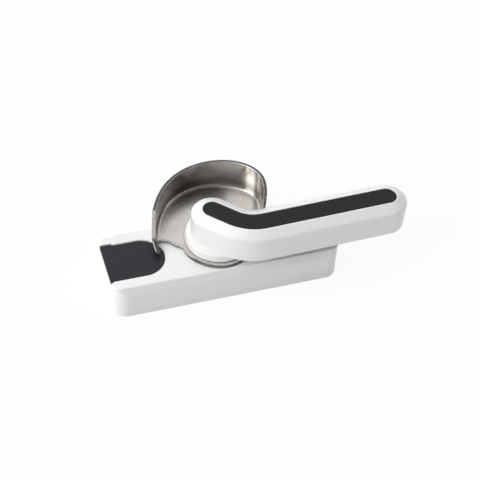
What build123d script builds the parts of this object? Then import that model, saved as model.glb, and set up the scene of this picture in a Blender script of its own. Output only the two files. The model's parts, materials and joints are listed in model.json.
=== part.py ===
from build123d import *
from math import cos, hypot, radians, sin, tan
import os

os.makedirs("parts", exist_ok=True)

# All sizes are millimetres. The origin is the middle of the base's mounting face.
# +X points to the free end of the handle in the locked position, +Z away from the window.

# Fits
slide_clearance = 0.15
seat_clearance = 0.03
running_clearance = 0.05
cut_margin = 1.0

# Base housing
base_length = 80.0
base_width = 27.0
base_height = 13.0
base_corner_radius = 4.9
top_corner_radius = 3.0
base_draft = 0.25
bevel_width = 1.2
bevel_height = 3.2
top_edge_round = 0.4
lip_bevel = 0.2
waist_round_run = 0.6
top_wall = 3.4
side_wall = 3.0

# Fixing screws, which pass through the base into the window
fixing_pitch = 55.0
fixing_hole_diameter = 4.6
fixing_head_pocket_diameter = 9.4
fixing_floor = 4.0
fixing_post_diameter = 13.0

# How far the pivot lies behind the base's centre line, towards the crescent's side
pivot_offset = 1.4

# Sliding screw covers
cover_half_width = 7.9
cover_recess_depth = 1.5
cover_sink = 0.4
cover_rail_width = 0.6
cover_rail_height = 0.5
cover_ear_length = 3.9
cover_tip_length = 0.7
cover_edge_round = 0.2

# Pivot bearing
disc_rim_gap = 0.45
recess_depth = 0.9
rim_groove_width = 1.6
rim_groove_depth = 1.1
plate_gap = 0.25
journal_diameter = 8.9
bush_wall = 1.5
hub_wall = 2.5
hub_drop = 2.1
thrust_washer_inset = 2.3

# Mechanism bay and its closing plate
bay_length = 38.0
bay_width = 18.4
bay_corner_radius = 1.5
ledge = 1.6
plate_thickness = 1.0
corner_block_length = 7.0
corner_block_width = 8.0

# Closing plate screws
plate_screw_end_inset = 3.0
plate_screw_side_inset = 2.0
plate_screw_diameter = 2.0
plate_screw_head_diameter = 3.8
plate_screw_length = 6.0
plate_screw_slot_width = 0.5
plate_screw_slot_depth = 0.6

# Detent on the lower end of the spindle
detent_diameter = 11.0
detent_across_flats = 9.3
spindle_end_diameter = 8.0
spindle_across_flats = 6.0
spring_thickness = 0.5
spring_end_room = 2.5
spring_top_room = 0.5
disc_spring_diameter = 12.3
disc_spring_thickness = 0.35
disc_spring_lift = 0.12

# Screw that closes the spindle
end_screw_diameter = 4.0
end_screw_length = 7.0
end_screw_head_diameter = 7.2
end_screw_head_height = 1.5
end_screw_head_round = 0.5
end_screw_slot_width = 0.9
end_screw_slot_depth = 0.9
end_screw_room = 0.4
end_washer_thickness = 0.7
end_washer_diameter = 9.0

# Crescent, one stamped sheet
sheet = 1.5
rim_sheet = 1.1
crescent_rim_height = 24.8
crescent_disc_radius = 12.35
foot_round_inside = 0.8
foot_round_outside = 1.4
rim_edge_round = 0.2
spindle_square = 9.0
spindle_square_corner = 1.0
sill_end_angle = 184.7
# Shape points of the wall: angle from +X, outer radius at the foot, outward flare at the rim
wall_points = [
    (171.3, 22.70, 0.70),
    (151.1, 22.80, 0.05),
    (128.7, 23.90, -0.05),
    (104.3, 25.00, 0.45),
    (77.8, 25.20, 1.80),
    (54.4, 25.30, 2.05),
    (39.1, 24.50, 1.10),
    (22.7, 20.50, 0.40),
    (3.3, 16.45, 0.05),
]
# Free front edge of the plate, from the wall to the disc
plate_notch = [
    (-18.7, 3.3),
    (-17.0, 2.4),
    (-15.7, 1.1),
    (-14.5, -0.1),
    (-13.5, -0.8),
    (-13.0, -1.6),
    (-12.8, -2.7),
    (-12.4, -4.0),
    (-11.6, -5.6),
]
notch_end_angle = -143.0
# Lead-in at the open end of the wall: how far forward of the pivot, and how high
ramp_top_y = 8.1
ramp_foot_y = 3.1
ramp_foot_rise = 0.5
ramp_foot_run = 2.0
sill_height = 1.9
ramp_slope_round = 1.6

# Handle, with its plan measured from the pivot
arm_half_width = 7.25
arm_bottom = 17.1
arm_side_top = 27.0
arm_top = 29.0
head_centre = (-2.6, 0.3)
neck_angle = -44.7
neck_length = 13.5
bend_radius = 13.5
arm_angle = 1.4
tip_x = 56.8
side_top_round = 1.0
side_bottom_round = 0.5
lip_width = 0.35
boss_inset = 0.55
boss_draft = 0.35
boss_edge_height = 2.7
boss_foot_round = 0.2
boss_edge_round = 0.7
shoulder_inner_radius = 5.0
shoulder_rise = 1.4
core_wall = 2.2
core_depth = 7.2
core_start_x = 17.0
spindle_grip = 1.0

# Handle inlay
inlay_half_width = 3.4
inlay_depth = 1.5
inlay_sink = 0.1
inlay_edge_round = 0.3

# How far from a height an edge may lie and still be taken for one at that height
level_tolerance = 0.01

# Heights that the parts share
plate_bottom = base_height + plate_gap
plate_top = plate_bottom + sheet
recess_floor = base_height - recess_depth
bay_roof = base_height - top_wall
hub_bottom = bay_roof - hub_drop
cover_floor = base_height - cover_recess_depth
cover_top = base_height - cover_sink
detent_top = hub_bottom - disc_spring_thickness - disc_spring_lift * 2
end_screw_bottom = plate_thickness + end_screw_room
end_washer_bottom = end_screw_bottom + end_screw_head_height
detent_bottom = end_washer_bottom + end_washer_thickness
spring_top = detent_top - spring_top_room
spindle_top = arm_bottom + spindle_grip

# Plan sizes that the parts share
fixing_x = fixing_pitch / 2
base_end = base_length / 2
recess_radius = crescent_disc_radius + disc_rim_gap
thrust_washer_radius = recess_radius - thrust_washer_inset
boss_radius = crescent_disc_radius - boss_inset
boss_edge_radius = boss_radius - boss_draft
journal_radius = journal_diameter / 2
bush_inner_radius = journal_radius + running_clearance
bush_outer_radius = bush_inner_radius + bush_wall
hub_radius = bush_outer_radius + hub_wall
spring_length = bay_length - spring_end_room * 2
block_x = bay_length / 2 - corner_block_length / 2
block_y = bay_width / 2 - corner_block_width / 2
plate_screw_x = bay_length / 2 - plate_screw_end_inset
plate_screw_y = bay_width / 2 - plate_screw_side_inset
plate_screw_places = [(side * plate_screw_x, turn * plate_screw_y) for turn in (-1, 1) for side in (-1, 1)]
bend_point = (
    head_centre[0] + neck_length * cos(radians(neck_angle)),
    head_centre[1] + neck_length * sin(radians(neck_angle)),
)
spring_y = detent_across_flats / 2 + running_clearance + spring_thickness / 2


# Small helpers
def prism(face, bottom, top):
    return extrude(Pos(0, 0, bottom) * face, amount=top - bottom)


def rod(radius, bottom, top, x=0.0, y=0.0):
    return Pos(x, y, (bottom + top) / 2) * Cylinder(radius, top - bottom)


def block(length, width, bottom, top, x=0.0, y=0.0):
    return Pos(x, y, (bottom + top) / 2) * Box(length, width, top - bottom)


def ring(outer_radius, inner_radius, bottom, top):
    return rod(outer_radius, bottom, top) - rod(inner_radius, bottom, top)


def edges_at(body, height):
    return body.edges().filter_by_position(Axis.Z, height - level_tolerance, height + level_tolerance)


def polar(radius, angle):
    return (radius * cos(radians(angle)), radius * sin(radians(angle)))


# Outline of the bent handle, used for its body, its bevel, its inlay and the pocket
def unit(angle):
    return (cos(radians(angle)), sin(radians(angle)))


def step(point, direction, distance):
    return (point[0] + direction[0] * distance, point[1] + direction[1] * distance)


def handle_outline(half_width):
    neck = unit(neck_angle)
    arm = unit(arm_angle)
    neck_left = unit(neck_angle + 90)
    arm_left = unit(arm_angle + 90)
    half_turn = radians(arm_angle - neck_angle) / 2
    setback = bend_radius * tan(half_turn)
    bend_start = step(bend_point, neck, -setback)
    bend_end = step(bend_point, arm, setback)
    bend_centre = step(bend_start, neck_left, bend_radius)
    bend_middle = unit((neck_angle + arm_angle) / 2 - 90)
    tip = step(bend_end, arm, (tip_x - bend_end[0]) / arm[0])
    inner = bend_radius - half_width
    outer = bend_radius + half_width
    head_rear = step(head_centre, neck_left, half_width)
    head_front = step(head_centre, neck_left, -half_width)
    start_rear = step(bend_start, neck_left, half_width)
    start_front = step(bend_start, neck_left, -half_width)
    end_rear = step(bend_end, arm_left, half_width)
    end_front = step(bend_end, arm_left, -half_width)
    tip_rear = step(tip, arm_left, half_width)
    tip_front = step(tip, arm_left, -half_width)
    edges = [
        Line(head_rear, start_rear),
        ThreePointArc(start_rear, step(bend_centre, bend_middle, inner), end_rear),
        Line(end_rear, tip_rear),
        ThreePointArc(tip_rear, step(tip, arm, half_width), tip_front),
        Line(tip_front, end_front),
        ThreePointArc(end_front, step(bend_centre, bend_middle, outer), start_front),
        Line(start_front, head_front),
        ThreePointArc(head_front, step(head_centre, neck, -half_width), head_rear),
    ]
    return make_face(edges)


# Outline of a screw cover: straight to the end of the base, round about the screw
def cover_outline(half_width, end_x):
    straight = Pos((fixing_x + end_x) / 2, 0) * Rectangle(end_x - fixing_x, half_width * 2)
    return straight + Pos(fixing_x, 0) * Circle(half_width)


# A long ear on one side of the cover and a short tip on the other are as wide as its rails
def cover_form(widen, end_x, bottom, top, rail_top):
    ear_width = cover_half_width + cover_rail_width + widen
    form = prism(cover_outline(cover_half_width + widen, end_x), bottom, top)
    form += prism(cover_outline(ear_width, end_x), bottom, rail_top)
    for side, length in ((-1, cover_ear_length), (1, cover_tip_length)):
        start = base_end - length - widen
        form += block(end_x - start, ear_width, bottom, top, (start + end_x) / 2, side * ear_width / 2)
    return form


# Base housing: upright ends, long sides that lean in, and corners that tighten towards the top
def housing_section(height, width, corner_radius):
    return Pos(0, 0, height) * RectangleRounded(base_length, width, corner_radius)


def housing_outside():
    waist = base_height - bevel_height
    share = waist_round_run / bevel_height
    waist_width = base_width - base_draft * 2
    below_width = waist_width + base_draft * 2 * waist_round_run / waist
    above_width = waist_width - bevel_width * 2 * share
    above_radius = base_corner_radius - (base_corner_radius - top_corner_radius) * share
    middle_width = (below_width + waist_width * 2 + above_width) / 4
    middle_radius = (base_corner_radius * 3 + above_radius) / 4
    floor = housing_section(0, base_width, base_corner_radius)
    below = housing_section(waist - waist_round_run, below_width, base_corner_radius)
    middle = housing_section(waist, middle_width, middle_radius)
    above = housing_section(waist + waist_round_run, above_width, above_radius)
    top = housing_section(base_height, waist_width - bevel_width * 2, top_corner_radius)
    body = loft([floor, below], ruled=True) + loft([below, middle, above]) + loft([above, top], ruled=True)
    return fillet(body.edges().group_by(Axis.Z)[-1], top_edge_round)


# The rims of the recesses in the top face are bevelled a little
def cover_lip():
    end_x = base_end + cut_margin
    half_width = cover_half_width + slide_clearance
    low = Pos(0, 0, base_height - lip_bevel) * cover_outline(half_width, end_x)
    high = Pos(0, 0, base_height + lip_bevel) * cover_outline(half_width + lip_bevel * 2, end_x)
    return loft([low, high], ruled=True)


def housing_end_cuts():
    recess = cover_form(
        slide_clearance,
        base_end + cut_margin,
        cover_floor,
        base_height + cut_margin,
        cover_floor + cover_rail_height + slide_clearance,
    )
    pocket = rod(fixing_head_pocket_diameter / 2, fixing_floor, base_height, x=fixing_x)
    hole = rod(fixing_hole_diameter / 2, -cut_margin, base_height, x=fixing_x)
    hollow_start = bay_length / 2 + ledge * 2
    hollow_end = base_end - side_wall
    hollow = Pos((hollow_start + hollow_end) / 2, 0) * RectangleRounded(
        hollow_end - hollow_start, base_width - side_wall * 2, bay_corner_radius
    )
    room = prism(hollow, -cut_margin, bay_roof) - rod(
        fixing_post_diameter / 2, -cut_margin, bay_roof, x=fixing_x
    )
    return recess + cover_lip() + pocket + hole + room


def mechanism_bay():
    bay = prism(RectangleRounded(bay_length, bay_width, bay_corner_radius), 0, bay_roof)
    slot_width = spring_thickness + seat_clearance * 2
    slot_top = spring_top + seat_clearance
    for x in (-block_x, block_x):
        for side in (-1, 1):
            corner = block(
                corner_block_length, corner_block_width, plate_thickness, bay_roof, x, side * block_y
            )
            bay -= corner - block(corner_block_length, slot_width, 0, slot_top, x, side * spring_y)
    return bay - rod(hub_radius, hub_bottom, bay_roof)


def mechanism_cuts():
    seat_length = bay_length + ledge * 2 + seat_clearance * 2
    seat_width = bay_width + ledge * 2 + seat_clearance * 2
    seat = RectangleRounded(seat_length, seat_width, bay_corner_radius)
    cuts = mechanism_bay() + prism(seat, 0, plate_thickness)
    cuts += rod(bush_outer_radius + seat_clearance, 0, base_height)
    cuts += rod(recess_radius, recess_floor, base_height + cut_margin)
    groove_floor = recess_floor - rim_groove_depth
    cuts += ring(recess_radius, recess_radius - rim_groove_width, groove_floor, base_height)
    cuts += Pos(0, 0, base_height) * Cone(recess_radius, recess_radius + lip_bevel * 2, lip_bevel * 2)
    screw_room = plate_screw_diameter / 2 + seat_clearance
    for x, y in plate_screw_places:
        cuts += rod(screw_room, 0, plate_screw_length + plate_thickness, x, y)
    return cuts


def make_base_housing():
    body = housing_outside() - Pos(0, pivot_offset, 0) * mechanism_cuts()
    for turn in (0, 180):
        body -= Rot(0, 0, turn) * housing_end_cuts()
    return body


def make_screw_cover(turn):
    cover = cover_form(0, base_end, cover_floor, cover_top, cover_floor + cover_rail_height)
    cover = fillet(cover.edges().group_by(Axis.Z)[-1], cover_edge_round)
    return Rot(0, 0, turn) * cover


# Bearing in the base
def make_pivot_bush():
    return ring(bush_outer_radius, bush_inner_radius, hub_bottom, recess_floor)


def make_thrust_washer():
    return ring(thrust_washer_radius, journal_radius + slide_clearance * 2, recess_floor, plate_bottom)


# Closing plate and its screws
def make_closing_plate():
    plate = prism(
        RectangleRounded(bay_length + ledge * 2, bay_width + ledge * 2, bay_corner_radius), 0, plate_thickness
    )
    for x, y in plate_screw_places:
        plate -= plate_screw_form(seat_clearance, x, y)
    return plate


def plate_screw_form(extra, x, y):
    head_radius = plate_screw_head_diameter / 2 + extra
    shank_radius = plate_screw_diameter / 2 + extra
    head = Cone(head_radius, shank_radius, plate_thickness)
    return Pos(x, y, plate_thickness / 2) * head + rod(shank_radius, 0, plate_screw_length, x, y)


def cross_recess(width, length, bottom, top, x=0.0, y=0.0):
    return block(length, width, bottom, top, x, y) + block(width, length, bottom, top, x, y)


def make_plate_screw(x, y):
    screw = plate_screw_form(0, x, y)
    return screw - cross_recess(plate_screw_slot_width, plate_screw_diameter, 0, plate_screw_slot_depth, x, y)


# Detent: two leaf springs bear on the flats of a block on the spindle
def make_leaf_spring(side):
    return block(spring_length, spring_thickness, plate_thickness, spring_top, y=side * spring_y)


def double_flat(diameter, across_flats, bottom, top):
    return rod(diameter / 2, bottom, top) & block(across_flats, diameter, bottom, top)


def make_detent_block():
    body = Rot(0, 0, 90) * double_flat(detent_diameter, detent_across_flats, detent_bottom, detent_top)
    room = seat_clearance * 2
    return body - double_flat(
        spindle_end_diameter + room, spindle_across_flats + room, detent_bottom, detent_top
    )


def make_disc_spring():
    inner = journal_radius + slide_clearance
    outer = disc_spring_diameter / 2
    low = detent_top
    high = detent_top + disc_spring_lift
    section = make_face(
        Polyline(
            (inner, 0, low),
            (outer, 0, high),
            (outer, 0, high + disc_spring_thickness),
            (inner, 0, low + disc_spring_thickness),
            close=True,
        )
    )
    return revolve(section, Axis.Z)


def make_end_washer():
    inner = end_screw_diameter / 2 + slide_clearance
    return ring(end_washer_diameter / 2, inner, end_washer_bottom, detent_bottom)


def make_end_screw():
    head = rod(end_screw_head_diameter / 2, end_screw_bottom, end_washer_bottom)
    head = fillet(head.edges().group_by(Axis.Z)[0], end_screw_head_round)
    shank = rod(end_screw_diameter / 2, end_washer_bottom, end_washer_bottom + end_screw_length)
    slot_top = end_screw_bottom + end_screw_slot_depth
    return head + shank - cross_recess(end_screw_slot_width, end_screw_diameter, end_screw_bottom, slot_top)


# Crescent
def curve_points(flare_share, inset):
    points = [polar(radius + flare * flare_share, angle) for angle, radius, flare in wall_points]
    last = len(points) - 1
    moved = []
    for index, point in enumerate(points):
        if index in (0, last):
            inward = unit(wall_points[index][0] + 180)
        else:
            run = (points[index + 1][0] - points[index - 1][0], points[index + 1][1] - points[index - 1][1])
            size = hypot(run[0], run[1])
            inward = (run[1] / size, -run[0] / size)
        moved.append(step(point, inward, inset))
    return moved


# The wall is drawn thinner towards its rim
def wall_strip(flare_share, thickness):
    outer = curve_points(flare_share, 0)
    inner = curve_points(flare_share, thickness)
    edges = [
        Spline(*outer),
        Line(outer[-1], inner[-1]),
        Spline(*reversed(inner)),
        Line(inner[0], outer[0]),
    ]
    return make_face(edges)


def crescent_wall():
    foot = Pos(0, 0, plate_bottom) * wall_strip(0, sheet)
    rim = Pos(0, 0, crescent_rim_height) * wall_strip(1, rim_sheet)
    return loft([foot, rim], ruled=True)


def crescent_plate():
    outer = curve_points(0, 0)
    notch_start = curve_points(0, sheet)[0]
    notch_end = polar(crescent_disc_radius, notch_end_angle)
    notch = [notch_start] + plate_notch + [notch_end]
    disc_side = polar(crescent_disc_radius - sheet, wall_points[-1][0])
    edges = [
        Spline(*outer),
        Line(outer[-1], disc_side),
        Line(disc_side, (0, 0)),
        Line((0, 0), notch[-1]),
        Spline(*reversed(notch)),
        Line(notch[0], outer[0]),
    ]
    return make_face(edges) + Circle(crescent_disc_radius)


def crescent_sill():
    start = wall_points[0][0]
    outer = wall_points[0][1]
    inner = outer - sheet
    middle = (start + sill_end_angle) / 2
    edges = [
        ThreePointArc(polar(outer, start), polar(outer, middle), polar(outer, sill_end_angle)),
        Line(polar(outer, sill_end_angle), polar(inner, sill_end_angle)),
        ThreePointArc(polar(inner, sill_end_angle), polar(inner, middle), polar(inner, start)),
        Line(polar(inner, start), polar(outer, start)),
    ]
    sill = prism(make_face(edges), plate_bottom, plate_bottom + sill_height + cut_margin * 2)
    foot = sill.edges().filter_by(GeomType.CIRCLE).group_by(Axis.Z)[0].sort_by(SortBy.LENGTH)[-1]
    return fillet(foot, foot_round_outside)


def lead_in_cut():
    sill = plate_bottom + sill_height
    far = -base_width
    high = crescent_rim_height + cut_margin * 2
    profile = make_face(
        Polyline(
            (ramp_top_y + cut_margin, high),
            (ramp_top_y, crescent_rim_height),
            (ramp_foot_y, sill + ramp_foot_rise),
            (ramp_foot_y - ramp_foot_run, sill),
            (far, sill),
            (far, high),
            close=True,
        )
    )
    corners = profile.vertices().filter_by_position(
        Axis.Y, sill - level_tolerance, crescent_rim_height + level_tolerance
    )
    corners = corners.filter_by_position(Axis.X, far / 2, base_width)
    profile = fillet(corners, ramp_slope_round)
    upright = Plane(origin=(-base_width / 2, 0, 0), x_dir=(0, 1, 0), z_dir=(1, 0, 0))
    return extrude(upright * profile, amount=-base_width)


def longest_curve(body, height):
    return edges_at(body, height).filter_by(GeomType.BSPLINE).sort_by(SortBy.LENGTH)[-1]


def make_crescent():
    body = prism(crescent_plate(), plate_bottom, plate_top) + crescent_wall()
    body = fillet(longest_curve(body, plate_top), foot_round_inside)
    body = fillet(longest_curve(body, plate_bottom), foot_round_outside)
    body = fillet(body.edges().group_by(Axis.Z)[-1], rim_edge_round)
    body = body + crescent_sill() - lead_in_cut()
    return body - spindle_socket(plate_bottom, plate_top)


# Spindle, a steel insert that the handle is cast round
def spindle_socket(bottom, top):
    width = spindle_square + seat_clearance * 2
    return prism(RectangleRounded(width, width, spindle_square_corner + seat_clearance), bottom, top)


def make_spindle():
    square = prism(
        RectangleRounded(spindle_square, spindle_square, spindle_square_corner), plate_bottom, spindle_top
    )
    journal = rod(journal_radius, detent_top, plate_bottom)
    lower = double_flat(spindle_end_diameter, spindle_across_flats, detent_bottom, detent_top)
    thread = rod(
        end_screw_diameter / 2 + seat_clearance, 0, end_washer_bottom + end_screw_length + cut_margin
    )
    return square + journal + lower - thread


# Handle, one casting: boss and bent arm
def handle_bar():
    side = prism(handle_outline(arm_half_width), arm_bottom, arm_side_top)
    top_width = inlay_half_width + seat_clearance + lip_width
    bevel = loft(
        [Pos(0, 0, arm_side_top) * handle_outline(arm_half_width),
         Pos(0, 0, arm_top) * handle_outline(top_width)],
        ruled=True,
    )
    bar = side + bevel
    bar = fillet(edges_at(bar, arm_side_top), side_top_round)
    return fillet(bar.edges().group_by(Axis.Z)[0], side_bottom_round)


def handle_boss():
    edge_top = plate_top + boss_edge_height
    section = Polyline(
        (0, 0, plate_top),
        (boss_radius, 0, plate_top),
        (boss_edge_radius, 0, edge_top),
        (shoulder_inner_radius, 0, edge_top + shoulder_rise),
        (0, 0, edge_top + shoulder_rise),
        close=True,
    )
    boss = revolve(make_face(section), Axis.Z)
    boss = fillet(edges_at(boss, edge_top).filter_by(GeomType.CIRCLE), boss_edge_round)
    return fillet(edges_at(boss, plate_top).filter_by(GeomType.CIRCLE), boss_foot_round)


def handle_core():
    arm = unit(arm_angle)
    start = step(bend_point, arm, (core_start_x - bend_point[0]) / arm[0])
    end = step(bend_point, arm, (tip_x - bend_point[0]) / arm[0])
    middle = ((start[0] + end[0]) / 2, (start[1] + end[1]) / 2)
    half_width = arm_half_width - core_wall
    slot = SlotCenterToCenter(end[0] - start[0] - half_width, half_width * 2)
    placed = Pos(middle[0], middle[1]) * Rot(0, 0, arm_angle) * slot
    return prism(placed, arm_bottom - cut_margin, arm_bottom + core_depth)


def make_handle():
    body = handle_bar() + handle_boss()
    pocket = handle_outline(inlay_half_width + seat_clearance)
    body -= prism(pocket, arm_top - inlay_depth, arm_top + cut_margin)
    return body - handle_core() - spindle_socket(plate_top, spindle_top)


def make_handle_inlay():
    inlay = prism(handle_outline(inlay_half_width), arm_top - inlay_depth, arm_top - inlay_sink)
    return fillet(inlay.edges().group_by(Axis.Z)[-1], inlay_edge_round)


# Every piece goes to its own file. The works, the crescent and the handle are placed at the pivot.
on_base = {
    "base_housing": make_base_housing(),
    "screw_cover_left": make_screw_cover(180),
    "screw_cover_right": make_screw_cover(0),
}
at_pivot = {
    "pivot_bush": make_pivot_bush(),
    "thrust_washer": make_thrust_washer(),
    "closing_plate": make_closing_plate(),
    "leaf_spring_front": make_leaf_spring(-1),
    "leaf_spring_rear": make_leaf_spring(1),
    "crescent": make_crescent(),
    "spindle": make_spindle(),
    "handle": make_handle(),
    "handle_inlay": make_handle_inlay(),
    "detent_block": make_detent_block(),
    "disc_spring": make_disc_spring(),
    "end_washer": make_end_washer(),
    "end_screw": make_end_screw(),
}
for number, (x, y) in enumerate(plate_screw_places, 1):
    at_pivot["closing_screw_" + str(number)] = make_plate_screw(x, y)

pieces = on_base | {name: Pos(0, pivot_offset, 0) * shape for name, shape in at_pivot.items()}
for name, shape in pieces.items():
    export_step(shape, "parts/" + name + ".step")
    print(name, shape.bounding_box().size, round(shape.volume, 1))
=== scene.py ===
import json
import logging
import math
from dataclasses import dataclass
from enum import Enum
from functools import reduce
from typing import Any

import bmesh
import bpy
from mathutils import Matrix, Vector


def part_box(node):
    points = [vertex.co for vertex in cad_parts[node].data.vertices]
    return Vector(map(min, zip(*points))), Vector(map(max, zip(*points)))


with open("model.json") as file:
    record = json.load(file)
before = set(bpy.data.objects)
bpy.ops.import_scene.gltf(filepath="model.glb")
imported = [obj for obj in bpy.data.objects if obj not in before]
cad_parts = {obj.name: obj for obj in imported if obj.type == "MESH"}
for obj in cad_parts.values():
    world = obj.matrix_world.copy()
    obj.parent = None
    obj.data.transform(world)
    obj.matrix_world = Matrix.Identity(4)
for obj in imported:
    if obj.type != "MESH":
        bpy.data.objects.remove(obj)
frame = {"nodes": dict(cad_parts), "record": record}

MM = 0.001
log = logging.getLogger("crescent_lock")

Colour = tuple[float, float, float]
Span = tuple[float, float]  # where a mask is 0 and where it is 1

WHITE: Colour = (1.0, 1.0, 1.0)
MIDDLE = 0.5  # a noise's average


class Signal:
    """A number, vector or colour on its way through a shader's node tree."""

    def __init__(self, bench: "ShaderBench", socket: bpy.types.NodeSocket) -> None:
        """Wraps one output socket.

        Args:
            bench: the shader that the socket belongs to.
            socket: the output socket.
        """
        self.bench = bench
        self.socket = socket

    def _maths(self, operation: str, *values: Any) -> "Signal":
        """Adds a Math node on numbers.

        Args:
            operation: the Math node's operation.
            values: numbers or signals, in the node's order.

        Returns:
            The node's result.
        """
        return self.bench.node("ShaderNodeMath", {"operation": operation}, dict(enumerate(values)))

    def __add__(self, other: Any) -> "Signal":
        """Returns self + other."""
        return self._maths("ADD", self, other)

    __radd__ = __add__

    def __sub__(self, other: Any) -> "Signal":
        """Returns self - other."""
        return self._maths("SUBTRACT", self, other)

    def __rsub__(self, other: Any) -> "Signal":
        """Returns other - self."""
        return self._maths("SUBTRACT", other, self)

    def __mul__(self, other: Any) -> "Signal":
        """Returns self * other."""
        return self._maths("MULTIPLY", self, other)

    __rmul__ = __mul__

    def __truediv__(self, other: Any) -> "Signal":
        """Returns self / other."""
        return self._maths("DIVIDE", self, other)

    def __rtruediv__(self, other: Any) -> "Signal":
        """Returns other / self."""
        return self._maths("DIVIDE", other, self)

    def __pow__(self, other: Any) -> "Signal":
        """Returns self to the power of other."""
        return self._maths("POWER", self, other)

    def __abs__(self) -> "Signal":
        """Returns the absolute value."""
        return self._maths("ABSOLUTE", self)

    def largest(self, other: Any) -> "Signal":
        """Returns the larger of self and other."""
        return self._maths("MAXIMUM", self, other)

    def rise(self, low: float, high: float) -> "Signal":
        """Goes smoothly from 0 at low to 1 at high, or the other way round if low is the larger.

        Args:
            low: value at which the result is 0.
            high: value at which the result is 1.

        Returns:
            The mask.
        """
        settings = {"interpolation_type": "SMOOTHSTEP", "clamp": True}
        sockets = {"Value": self, "From Min": min(low, high), "From Max": max(low, high)}
        mask = self.bench.node("ShaderNodeMapRange", settings, sockets)
        return mask if low < high else 1.0 - mask


class ShaderBench:
    """Builds one material: a Principled surface and the nodes that feed it."""

    def __init__(self, name: str) -> None:
        """Makes an empty material with its output.

        Args:
            name: the material's name.
        """
        self.material = bpy.data.materials.new(name)
        self.material.use_nodes = True
        self.tree = self.material.node_tree
        self.tree.nodes.clear()
        self.output = self.tree.nodes.new("ShaderNodeOutputMaterial")
        self._position: Signal | None = None

    def feed(self, socket: bpy.types.NodeSocket, value: Any) -> None:
        """Links a signal to an input socket, or sets the socket's own value.

        Args:
            socket: the input socket.
            value: a signal, a number, a vector or a colour.
        """
        if isinstance(value, Signal):
            self.tree.links.new(value.socket, socket)
        elif socket.type == "RGBA" and len(value) == 3:
            socket.default_value = (*value, 1.0)
        else:
            socket.default_value = value

    def node(
        self,
        kind: str,
        settings: dict[str, Any] | None = None,
        sockets: dict[Any, Any] | None = None,
        output: int | str = 0,
    ) -> Signal:
        """Adds a node of any type.

        Args:
            kind: the node's type.
            settings: attributes that are set first, such as a Math node's operation.
            sockets: values or signals of the inputs, by name or number.
            output: name or number of the output that is wanted.

        Returns:
            That output.
        """
        made = self.tree.nodes.new(kind)
        for name, value in (settings or {}).items():
            setattr(made, name, value)
        for name, value in (sockets or {}).items():
            self.feed(made.inputs[name], value)
        return Signal(self, made.outputs[output])

    @property
    def position(self) -> Signal:
        """The point on the piece, in metres, which moves with the piece."""
        if self._position is None:
            self._position = self.node("ShaderNodeTexCoord", output="Object")
        return self._position

    @property
    def facing(self) -> Signal:
        """The direction that the surface faces, which turns with the piece."""
        turn = {"vector_type": "NORMAL", "convert_from": "WORLD", "convert_to": "OBJECT"}
        flat = self.node("ShaderNodeNewGeometry", output="True Normal")
        return self.node("ShaderNodeVectorTransform", turn, {"Vector": flat})

    def axes(self, vector: Signal) -> tuple[Signal, Signal, Signal]:
        """Splits a vector into x, y and z.

        Args:
            vector: the vector.

        Returns:
            Its three numbers.
        """
        x = self.node("ShaderNodeSeparateXYZ", sockets={0: vector}, output=0)
        split = x.socket.node
        return x, Signal(self, split.outputs[1]), Signal(self, split.outputs[2])

    def scaled(self, vector: Signal, scale: tuple[float, float, float]) -> Signal:
        """Multiplies a vector by a number for each axis.

        Args:
            vector: the vector.
            scale: the three factors.

        Returns:
            The stretched vector.
        """
        return self.node("ShaderNodeVectorMath", {"operation": "MULTIPLY"}, {0: vector, 1: scale})

    def noise(
        self, size: float, detail: float = 2.0, roughness: float = 0.5, vector: Signal | None = None
    ) -> Signal:
        """Adds noise with features of about the given size.

        Args:
            size: size of a feature, in metres.
            detail: number of finer layers.
            roughness: how strong the finer layers are.
            vector: where the noise is read, or None for the point on the piece.

        Returns:
            The noise, about 0.5 on average.
        """
        sockets = {
            "Vector": vector or self.position,
            "Scale": 1.0 / size,
            "Detail": detail,
            "Roughness": roughness,
        }
        return self.node("ShaderNodeTexNoise", {"noise_dimensions": "3D"}, sockets)

    def mix(self, share: Any, first: Any, second: Any) -> Signal:
        """Mixes two colours.

        Args:
            share: how much of the second colour.
            first: the colour where share is 0.
            second: the colour where share is 1.

        Returns:
            The mixed colour.
        """
        made = self.tree.nodes.new("ShaderNodeMix")
        made.data_type = "RGBA"
        for name, value in (("Factor_Float", share), ("A_Color", first), ("B_Color", second)):
            self.feed(next(s for s in made.inputs if s.identifier == name), value)
        return Signal(self, next(s for s in made.outputs if s.identifier == "Result_Color"))

    def blend(self, share: Signal, first: Signal, second: Signal) -> Signal:
        """Mixes two shaders.

        Args:
            share: how much of the second shader.
            first: the shader where share is 0.
            second: the shader where share is 1.

        Returns:
            The mixed shader.
        """
        return self.node("ShaderNodeMixShader", None, {0: share, 1: first, 2: second})

    def bump(self, height: Signal, depth: float, normal: Signal | None = None) -> Signal:
        """Turns a height signal into a surface normal.

        Args:
            height: the height, 0 to 1.
            depth: what 1 stands for, in metres.
            normal: the normal that this bump is added to.

        Returns:
            The normal.
        """
        sockets: dict[str, Any] = {"Strength": 1.0, "Distance": depth, "Height": height}
        if normal is not None:
            sockets["Normal"] = normal
        return self.node("ShaderNodeBump", None, sockets, output="Normal")

    def surface(self, sockets: dict[str, Any]) -> bpy.types.Material:
        """Finishes the material with a Principled surface.

        Args:
            sockets: values or signals of the surface's inputs.

        Returns:
            The material.
        """
        shader = self.node("ShaderNodeBsdfPrincipled", None, sockets)
        self.feed(self.output.inputs["Surface"], shader)
        return self.material


class WorldBench(ShaderBench):
    """Builds the world's shader."""

    def __init__(self, world: bpy.types.World) -> None:
        """Empties the world's tree and gives it its output.

        Args:
            world: the world.
        """
        world.use_nodes = True
        self.tree = world.node_tree
        self.tree.nodes.clear()
        self.output = self.tree.nodes.new("ShaderNodeOutputWorld")
        self._position = None


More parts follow.
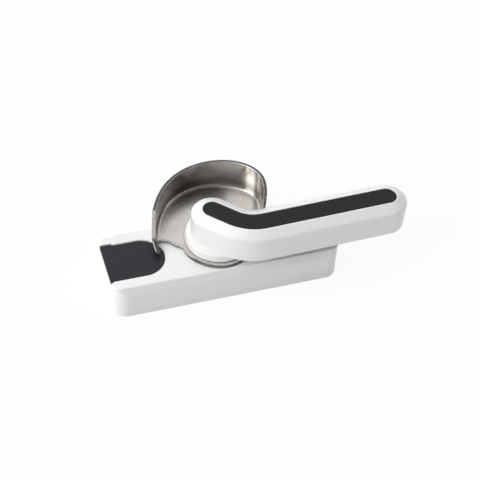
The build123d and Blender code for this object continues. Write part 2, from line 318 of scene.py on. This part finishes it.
@dataclass(frozen=True)
class GlossEnamel:
    """White stoved enamel on zinc castings: even and glossy, with a faint orange peel."""

    colour: Colour = (0.87, 0.87, 0.865)
    thin_colour: Colour = (0.80, 0.80, 0.79)
    roughness: float = 0.30
    peel_spread: float = 0.05
    speck_spread: float = 0.06
    refraction: float = 1.5
    coat: float = 0.35
    coat_roughness: float = 0.10
    peel_size: float = 1.1 * MM
    peel_depth: float = 0.0018 * MM
    speck_size: float = 0.14 * MM
    speck_span: Span = (0.50, 0.85)
    speck_share: float = 0.30
    cloud_size: float = 16 * MM
    cloud_span: Span = (0.35, 0.80)
    cloud_share: float = 0.12

    def build(self, name: str) -> bpy.types.Material:
        """Builds the material.

        Args:
            name: the material's name.

        Returns:
            The material.
        """
        bench = ShaderBench(name)
        peel = bench.noise(self.peel_size, detail=3.0, roughness=0.55)
        speck = bench.noise(self.speck_size, detail=2.0, roughness=0.6)
        cloud = bench.noise(self.cloud_size, detail=2.0)
        thin_specks = speck.rise(*self.speck_span) * self.speck_share
        thin_clouds = cloud.rise(*self.cloud_span) * self.cloud_share
        waves = (peel - MIDDLE) * self.peel_spread + (speck - MIDDLE) * self.speck_spread
        return bench.surface(
            {
                "Base Color": bench.mix(thin_specks + thin_clouds, self.colour, self.thin_colour),
                "Roughness": self.roughness + waves,
                "Normal": bench.bump(peel, self.peel_depth),
                "IOR": self.refraction,
                "Coat Weight": self.coat,
                "Coat Roughness": self.coat_roughness,
            }
        )


@dataclass(frozen=True)
class MouldedPlastic:
    """Black moulded plastic with a fine spark-eroded grain."""

    colour: Colour = (0.0085, 0.0095, 0.0140)
    worn_colour: Colour = (0.021, 0.023, 0.030)
    roughness: float = 0.42
    specular: float = 0.35
    grain_size: float = 0.15 * MM
    grain_depth: float = 0.007 * MM
    grain_span: Span = (0.48, 0.80)
    grain_share: float = 0.7
    grain_spread: float = 0.22
    cloud_size: float = 7 * MM
    cloud_span: Span = (0.50, 0.85)
    cloud_share: float = 0.3
    cloud_spread: float = 0.10

    def build(self, name: str) -> bpy.types.Material:
        """Builds the material.

        Args:
            name: the material's name.

        Returns:
            The material.
        """
        bench = ShaderBench(name)
        grain = bench.noise(self.grain_size, detail=2.0, roughness=0.6)
        cloud = bench.noise(self.cloud_size, detail=4.0, roughness=0.6)
        scuffs = grain.rise(*self.grain_span) * self.grain_share
        scuffs = scuffs + cloud.rise(*self.cloud_span) * self.cloud_share
        rough = (grain - MIDDLE) * self.grain_spread + (cloud - MIDDLE) * self.cloud_spread
        return bench.surface(
            {
                "Base Color": bench.mix(scuffs, self.colour, self.worn_colour),
                "Roughness": self.roughness + rough,
                "Normal": bench.bump(grain, self.grain_depth),
                "Specular IOR Level": self.specular,
            }
        )


@dataclass(frozen=True)
class SheetPlan:
    """Where the crescent's parts are: radii from the pivot, heights above the plate's top face, facings."""

    pivot: tuple[float, float]
    top: float
    rim: float
    sheet: float = 1.5 * MM
    boss_radius: float = 11.8 * MM
    flat_facing: Span = (0.80, 0.95)
    rim_drop: Span = (0.16 * MM, 0.10 * MM)
    sill_foot: Span = (0.25 * MM, 0.35 * MM)
    sill_head: Span = (1.2 * MM, 0.9 * MM)
    sill_outside: Span = (22.30 * MM, 22.45 * MM)
    plate_edge_lean: Span = (0.55, 0.35)
    plate_edge_height: Span = (0.0, -0.10 * MM)
    plate_inside: Span = (20.5 * MM, 20.3 * MM)
    plate_front: Span = (4.5 * MM, 3.5 * MM)
    wall_end_turn: Span = (0.55, 0.40)
    wall_end_lean: Span = (0.93, 0.85)
    inner_face: Span = (-0.5, -0.8)
    inner_corner: Span = (-0.10, -0.40)


@dataclass(frozen=True)
class SheetMasks:
    """What tells the parts of the stamping apart: its flat, its rim, its sill and all its sheared edges."""

    height: Signal
    from_axis: Signal
    outward: Signal
    flat: Signal
    rim: Signal
    sill: Signal
    torn: Signal

    @classmethod
    def read(cls, bench: ShaderBench, plan: SheetPlan) -> "SheetMasks":
        """Works the masks out from where a point is and which way the sheet faces there.

        Args:
            bench: the shader.
            plan: where the parts are.

        Returns:
            The masks.
        """
        x, y, z = bench.axes(bench.position)
        along_x, along_y, height = x - plan.pivot[0], y - plan.pivot[1], z - plan.top
        from_axis = (along_x * along_x + along_y * along_y) ** 0.5
        facing_x, facing_y, facing_z = bench.axes(bench.facing)
        outward = (facing_x * along_x + facing_y * along_y) / from_axis
        flat = facing_z.rise(*plan.flat_facing)
        rim = height.rise(*(plan.rim - drop for drop in plan.rim_drop))
        sill = flat * height.rise(*plan.sill_foot) * height.rise(*plan.sill_head)
        lean = abs(facing_z)
        free = from_axis.rise(*plan.plate_inside).largest(along_y.rise(*plan.plate_front))
        plate_edge = lean.rise(*plan.plate_edge_lean) * height.rise(*plan.plate_edge_height) * free
        wall_ends = abs(outward).rise(*plan.wall_end_turn) * lean.rise(*plan.wall_end_lean)
        torn = plate_edge.largest(wall_ends).largest(rim).largest(sill)
        return cls(height, from_axis, outward, flat, rim, sill, torn)


@dataclass(frozen=True)
class StampedSheet:
    """Satin stainless sheet with torn, speckled sheared edges and stain streaks, a painted shadow round the
    boss's foot and a painted dark reflection low on the wall.
    """

    colour: Colour = (0.60, 0.575, 0.545)
    flat_colour: Colour = (0.56, 0.55, 0.55)
    dark_colour: Colour = (0.47, 0.44, 0.405)
    stain_and_painted_shadow_colour: Colour = (0.40, 0.29, 0.19)
    painted_reflection_colour: Colour = (0.17, 0.15, 0.13)
    torn_colour: Colour = (0.07, 0.072, 0.08)
    bright_colour: Colour = (0.78, 0.77, 0.76)
    roughness: float = 0.19
    flat_roughness: float = 0.09
    torn_roughness: float = 0.12
    grain_size: float = 0.30 * MM
    grain_stretch: float = 9.0
    grain_span: Span = (0.3, 0.7)
    grain_share: float = 0.45
    grain_spread: float = 0.10
    cloud_size: float = 5 * MM
    cloud_span: Span = (0.38, 0.75)
    cloud_share: float = 0.45
    cloud_spread: float = 0.12
    pit_size: float = 0.156 * MM
    pit_span: Span = (0.62, 0.78)
    pit_share: float = 0.35
    pit_depth: float = 0.5
    fine_depth: float = 0.002 * MM
    streak_size: float = 1.6 * MM
    streak_stretch: float = 0.25
    streak_span: Span = (0.66, 0.74)
    streak_share: float = 0.8
    painted_reflection_foot: Span = (0.6 * MM, 1.6 * MM)
    painted_reflection_head: Span = (5.5 * MM, 2.5 * MM)
    painted_shadow_width: float = 0.45 * MM
    painted_shadow_foot: Span = (-0.3 * MM, 0.0)
    painted_shade_share: float = 0.45
    painted_shade_spread: float = 0.5
    speckle_size: float = 0.26 * MM
    speckle_span: Span = (0.37, 0.51)
    speckle_spread: float = 0.20
    torn_depth: float = 0.05 * MM
    burnish_height: float = -0.9 * MM
    burnish_top: Span = (0.10 * MM, 0.0)
    burnish_shade: float = 0.30
    rim_shade: float = 0.18
    painted_corner_highlight: float = 0.28

    def build(self, name: str, plan: SheetPlan) -> bpy.types.Material:
        """Builds the material.

        Args:
            name: the material's name.
            plan: where the sheet's parts are.

        Returns:
            The material.
        """
        bench = ShaderBench(name)
        masks = SheetMasks.read(bench, plan)
        grain_place = bench.scaled(bench.position, (1.0, 1.0, self.grain_stretch))
        grain = bench.noise(self.grain_size, detail=4.0, roughness=0.6, vector=grain_place)
        cloud = bench.noise(self.cloud_size, detail=4.0, roughness=0.62)
        speckle = bench.noise(self.speckle_size, detail=3.0, roughness=0.75)
        pits = bench.noise(self.pit_size, detail=2.0, roughness=0.6).rise(*self.pit_span)
        rubbed = grain.rise(*self.grain_span) * self.grain_share
        rubbed = rubbed + cloud.rise(*self.cloud_span) * self.cloud_share
        face = bench.mix(masks.flat, self.colour, self.flat_colour)
        face = bench.mix(rubbed, face, self.dark_colour)
        face = bench.mix(pits * self.pit_share, face, self.torn_colour)
        face = self._stains_and_painted_shade(bench, plan, masks, cloud, face)
        smooth = self.roughness + masks.flat * self.flat_roughness
        smooth = smooth + (cloud - MIDDLE) * self.cloud_spread + (grain - MIDDLE) * self.grain_spread
        coarse = masks.torn * (self.torn_roughness + speckle * self.speckle_spread)
        fine = bench.bump(grain + pits * self.pit_depth, self.fine_depth)
        return bench.surface(
            {
                "Base Color": bench.mix(masks.torn, face, self._edge(bench, plan, masks, speckle)),
                "Metallic": 1.0,
                "Roughness": smooth + coarse,
                "Normal": bench.bump(speckle * masks.torn, self.torn_depth, fine),
            }
        )

    def _stains_and_painted_shade(
        self, bench: ShaderBench, plan: SheetPlan, masks: SheetMasks, cloud: Signal, face: Signal
    ) -> Signal:
        """Adds the stain streaks, the painted dark reflection band low on the wall's inner face and the
        painted shadow round the boss's foot.

        Args:
            bench: the shader.
            plan: where the sheet's parts are.
            masks: what tells them apart.
            cloud: the broad noise.
            face: the sheet's colour so far.

        Returns:
            The face's colour.
        """
        streak_place = bench.scaled(bench.position, (1.0, 1.0, self.streak_stretch))
        streak = bench.noise(self.streak_size, detail=2.0, roughness=0.4, vector=streak_place)
        face = bench.mix(streak.rise(*self.streak_span) * self.streak_share, face, self.stain_and_painted_shadow_colour)
        # how strong the painted shade is, for the painted reflection band and the painted shadow ring below
        strength = self.painted_shade_share + cloud * self.painted_shade_spread
        # painted dark reflection: a darker band low on the wall's inner face
        band = masks.height.rise(*self.painted_reflection_foot) * masks.height.rise(*self.painted_reflection_head)
        band = band * masks.outward.rise(*plan.inner_face)
        face = bench.mix(band * strength, face, self.painted_reflection_colour)
        # painted contact shadow: a warm dark ring on the plate round the boss's foot
        ring = masks.from_axis.rise(plan.boss_radius + self.painted_shadow_width, plan.boss_radius)
        ring = ring * masks.height.rise(*self.painted_shadow_foot)
        return bench.mix(ring * strength, face, self.stain_and_painted_shadow_colour)

    def _edge(self, bench: ShaderBench, plan: SheetPlan, masks: SheetMasks, speckle: Signal) -> Signal:
        """Colours the sheared edges: dark and torn, with bright specks and a painted highlight on the rim's
        inner corner and the sill's outer corner.

        Args:
            bench: the shader.
            plan: where the sheet's parts are.
            masks: what tells them apart.
            speckle: the noise of the torn metal.

        Returns:
            The edges' colour.
        """
        burnished = masks.height.rise(self.burnish_height, -plan.sheet)
        burnished = burnished * masks.height.rise(*self.burnish_top)
        inner_rim = masks.rim * masks.outward.rise(*plan.inner_corner)
        outer_sill = masks.sill * masks.from_axis.rise(*plan.sill_outside)
        shade = burnished * self.burnish_shade + masks.rim.largest(masks.sill) * self.rim_shade
        # painted highlight: the rim's inner corner and the sill's outer corner are lightened
        shade = shade - (inner_rim + outer_sill) * self.painted_corner_highlight
        return bench.mix((speckle - shade).rise(*self.speckle_span), self.torn_colour, self.bright_colour)


@dataclass(frozen=True)
class PlainMetal:
    """Plated or rolled metal of the hidden works."""

    colour: Colour
    stain: Colour
    roughness: float
    grain_size: float = 0.4 * MM
    grain_depth: float = 0.004 * MM
    grain_spread: float = 0.2
    cloud_size: float = 5 * MM
    cloud_span: Span = (0.4, 0.75)
    cloud_spread: float = 0.1

    def build(self, name: str) -> bpy.types.Material:
        """Builds the material.

        Args:
            name: the material's name.

        Returns:
            The material.
        """
        bench = ShaderBench(name)
        grain = bench.noise(self.grain_size, detail=4.0, roughness=0.65)
        cloud = bench.noise(self.cloud_size, detail=3.0)
        rough = (grain - MIDDLE) * self.grain_spread + (cloud - MIDDLE) * self.cloud_spread
        return bench.surface(
            {
                "Base Color": bench.mix(cloud.rise(*self.cloud_span), self.colour, self.stain),
                "Metallic": 1.0,
                "Roughness": self.roughness + rough,
                "Normal": bench.bump(grain, self.grain_depth),
            }
        )


@dataclass(frozen=True)
class MouldedNylon:
    """Natural nylon of the bush, the washer and the detent block."""

    colour: Colour = (0.78, 0.76, 0.68)
    shade: Colour = (0.68, 0.66, 0.58)
    roughness: float = 0.42
    grain_size: float = 0.3 * MM
    grain_depth: float = 0.005 * MM
    grain_span: Span = (0.3, 0.8)
    grain_spread: float = 0.15
    glow: float = 0.15
    glow_depth: float = 1.0 * MM

    def build(self, name: str) -> bpy.types.Material:
        """Builds the material.

        Args:
            name: the material's name.

        Returns:
            The material.
        """
        bench = ShaderBench(name)
        grain = bench.noise(self.grain_size, detail=3.0)
        return bench.surface(
            {
                "Base Color": bench.mix(grain.rise(*self.grain_span), self.colour, self.shade),
                "Roughness": self.roughness + (grain - MIDDLE) * self.grain_spread,
                "Normal": bench.bump(grain, self.grain_depth),
                "Subsurface Weight": self.glow,
                "Subsurface Scale": self.glow_depth,
            }
        )


class Plating(Enum):
    """Plain metals that the lock uses."""

    ZINC = PlainMetal(colour=(0.66, 0.67, 0.69), stain=(0.55, 0.56, 0.58), roughness=0.34)
    SPRING = PlainMetal(colour=(0.42, 0.42, 0.43), stain=(0.30, 0.30, 0.32), roughness=0.30)


@dataclass
class SubAssembly:
    """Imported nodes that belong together, and the finishes that they take."""

    body: str

    def dress(self, material: bpy.types.Material, *names: str) -> None:
        """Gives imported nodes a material.

        Args:
            material: the material.
            names: the nodes.
        """
        for name in names:
            for slot in frame["nodes"][name].material_slots:
                slot.material = material
            log.info("%s: %s in %s", self.body, name, material.name)


@dataclass
class BaseBox(SubAssembly):
    """The enamelled box with its bearing and the plate that closes its underside."""

    body: str = "base"
    plate_screws: int = 4
    enamel: GlossEnamel = GlossEnamel()
    nylon: MouldedNylon = MouldedNylon()

    def build(self) -> None:
        """Dresses the box, its bearing, the closing plate and its screws, and the leaf springs."""
        self.dress(self.enamel.build("base_enamel"), "base_housing")
        self.dress(self.nylon.build("bearing_nylon"), "pivot_bush", "thrust_washer")
        screws = [f"closing_screw_{number}" for number in range(1, self.plate_screws + 1)]
        self.dress(Plating.ZINC.value.build("plate_zinc"), "closing_plate", *screws)
        self.dress(Plating.SPRING.value.build("spring_strip"), "leaf_spring_front", "leaf_spring_rear")


@dataclass
class ScrewCover(SubAssembly):
    """One sliding cover over a fixing screw."""

    side: str = "left"
    plastic: MouldedPlastic = MouldedPlastic()

    def build(self) -> None:
        """Dresses the cover."""
        self.dress(self.plastic.build(f"{self.side}_cover_plastic"), f"screw_cover_{self.side}")


@dataclass
class Crescent(SubAssembly):
    """The stamped hook."""

    body: str = "lever"
    finish: StampedSheet = StampedSheet()

    def build(self) -> None:
        """Dresses the stamping."""
        low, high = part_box("crescent")
        joints = frame["record"]["behaviour"]["joints"]
        pivot_x, pivot_y, _ = next(joint for joint in joints if joint["name"] == "lever_turn")["pos_m"]
        top = low.z + SheetPlan.sheet
        plan = SheetPlan((pivot_x, pivot_y), top, high.z - top)
        self.dress(self.finish.build("crescent_sheet", plan), "crescent")


@dataclass
class Handle(SubAssembly):
    """The enamelled lever with its inlay and the spindle that it is cast round."""

    body: str = "lever"
    enamel: GlossEnamel = GlossEnamel()
    plastic: MouldedPlastic = MouldedPlastic(
        colour=(0.0040, 0.0045, 0.0070), worn_colour=(0.011, 0.012, 0.016), specular=0.28
    )

    def build(self) -> None:
        """Dresses the lever, the inlay and the spindle."""
        self.dress(self.enamel.build("handle_enamel"), "handle")
        self.dress(self.plastic.build("inlay_plastic"), "handle_inlay")
        self.dress(Plating.ZINC.value.build("spindle_zinc"), "spindle")


@dataclass
class DetentWorks(SubAssembly):
    """The block, spring, washer and screw at the spindle's lower end."""

    body: str = "lever"
    nylon: MouldedNylon = MouldedNylon()

    def build(self) -> None:
        """Dresses the pieces of the detent."""
        self.dress(self.nylon.build("detent_nylon"), "detent_block")
        self.dress(Plating.SPRING.value.build("disc_spring_steel"), "disc_spring")
        self.dress(Plating.ZINC.value.build("end_screw_zinc"), "end_washer", "end_screw")


@dataclass(frozen=True)
class SoftLamp:
    """A square soft lamp that points at the lock."""

    name: str
    azimuth: float
    elevation: float
    distance: float
    size: float
    power: float

    def build(self, aim: Vector) -> None:
        """Hangs the lamp.

        Args:
            aim: the point that it faces.
        """
        turn, tilt = math.radians(self.azimuth), math.radians(self.elevation)
        away = Vector((math.cos(turn) * math.cos(tilt), math.sin(turn) * math.cos(tilt), math.sin(tilt)))
        light = bpy.data.lights.new(self.name, "AREA")
        light.shape = "SQUARE"
        light.size = self.size
        light.energy = self.power
        lamp = bpy.data.objects.new(self.name, light)
        lamp.location = aim + away * self.distance
        lamp.rotation_mode = "QUATERNION"
        lamp.rotation_quaternion = away.to_track_quat("Z", "Y")
        bpy.context.scene.collection.objects.link(lamp)


LAMPS = (
    SoftLamp("window", azimuth=190.0, elevation=32.0, distance=1.05, size=0.55, power=4.6),
    SoftLamp("overhead", azimuth=185.0, elevation=62.0, distance=1.05, size=0.8, power=3.9),
    SoftLamp("rear", azimuth=80.0, elevation=50.0, distance=1.05, size=0.8, power=1.2),
)


@dataclass
class Studio:
    """A white sweep, soft lamps and the camera."""

    floor_half: float = 3.0
    floor_drop: float = 0.1 * MM
    paper_colour: Colour = (0.92, 0.92, 0.92)
    paper_shade: Colour = (0.90, 0.90, 0.90)
    fibre_size: float = 3 * MM
    white_share: float = 0.92
    room_level: float = 0.62
    dim_level: float = 0.27
    mirrored_level: float = 0.06
    room_span: Span = (-0.35, 0.45)
    sweep_span: Span = (0.45, 0.15)
    azimuth: float = 20.379
    elevation: float = 48.01
    roll: float = 4.778
    distance: float = 0.50515
    aim: tuple[float, float, float] = (0.009423, 0.005502, 0.006)
    lens: float = 108.23
    nearest: float = 0.01
    farthest: float = 20.0
    lamps: tuple[SoftLamp, ...] = LAMPS

    def build(self) -> None:
        """Builds the floor, the surround, the lamps and the camera."""
        self._floor()
        self._room()
        for lamp in self.lamps:
            lamp.build(Vector(self.aim))
        self._camera()

    @staticmethod
    def _ray(bench: ShaderBench, *kinds: str) -> Signal:
        """Marks rays of the given kinds.

        Args:
            bench: the shader.
            kinds: the kinds, such as Camera for what the camera sees directly.

        Returns:
            1 for those rays, 0 for the others.
        """
        marks = [bench.node("ShaderNodeLightPath", output=f"Is {kind} Ray") for kind in kinds]
        return reduce(Signal.largest, marks)

    def _floor(self) -> None:
        """Builds the floor, which looks white and keeps a faint shadow."""
        shape = bmesh.new()
        half = self.floor_half
        signs = ((-1, -1), (1, -1), (1, 1), (-1, 1))
        corners = [shape.verts.new((sx * half, sy * half, -self.floor_drop)) for sx, sy in signs]
        shape.faces.new(corners)
        mesh = bpy.data.meshes.new("floor")
        shape.to_mesh(mesh)
        shape.free()
        floor = bpy.data.objects.new("floor", mesh)
        bpy.context.scene.collection.objects.link(floor)
        bench = ShaderBench("sweep_paper")
        fibre = bench.noise(self.fibre_size, detail=2.0)
        colour = bench.mix(fibre, self.paper_colour, self.paper_shade)
        paper = bench.node("ShaderNodeBsdfDiffuse", None, {"Color": colour})
        white = bench.node("ShaderNodeEmission", None, {"Color": WHITE, "Strength": 1.0})
        share = self._ray(bench, "Camera", "Glossy", "Transmission") * self.white_share
        bench.feed(bench.output.inputs["Surface"], bench.blend(share, paper, white))
        mesh.materials.append(bench.material)

    def _room(self) -> None:
        """Builds a soft grey surround, dim in front of the lock, whose lower part is the white sweep."""
        world = bpy.data.worlds.new("room")
        bpy.context.scene.world = world
        bench = WorldBench(world)
        _, depth, height = bench.axes(bench.node("ShaderNodeTexCoord", output="Generated"))
        levels = (self.dim_level, self.mirrored_level, self.room_level, 1.0)
        dim, mirrored, room, white = (
            bench.node("ShaderNodeBackground", None, {"Color": WHITE, "Strength": level})
            for level in levels
        )
        front = bench.blend(self._ray(bench, "Glossy"), dim, mirrored)
        grey = bench.blend(depth.rise(*self.room_span), front, room)
        direct = self._ray(bench, "Camera", "Glossy", "Transmission")
        sweep = bench.blend(direct * height.rise(*self.sweep_span), grey, white)
        bench.feed(bench.output.inputs["Surface"], sweep)

    def _camera(self) -> None:
        """Puts the camera at the photograph's angle."""
        turn, tilt, roll = (math.radians(angle) for angle in (self.azimuth, self.elevation, self.roll))
        back = Vector((-math.sin(turn) * math.cos(tilt), -math.cos(turn) * math.cos(tilt), math.sin(tilt)))
        level = Vector((math.cos(turn), -math.sin(turn), 0.0))
        upright = back.cross(level)
        right = level * math.cos(roll) + upright * math.sin(roll)
        up = upright * math.cos(roll) - level * math.sin(roll)
        data = bpy.data.cameras.new("camera")
        data.lens = self.lens
        data.clip_start = self.nearest
        data.clip_end = self.farthest
        camera = bpy.data.objects.new("camera", data)
        place = Vector(self.aim) + back * self.distance
        columns = Matrix((right, up, back)).transposed().to_4x4()
        camera.matrix_world = Matrix.Translation(place) @ columns
        bpy.context.scene.collection.objects.link(camera)
        bpy.context.scene.camera = camera


def main() -> None:
    """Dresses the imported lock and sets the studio."""
    logging.basicConfig(level=logging.INFO, format="%(name)s: %(message)s")
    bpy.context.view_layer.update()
    BaseBox().build()
    for side in ("left", "right"):
        ScrewCover(f"{side}_cover", side).build()
    Crescent().build()
    Handle().build()
    DetentWorks().build()
    Studio().build()
    bpy.context.scene.view_settings.view_transform = "Standard"


if __name__ == "__main__":
    main()
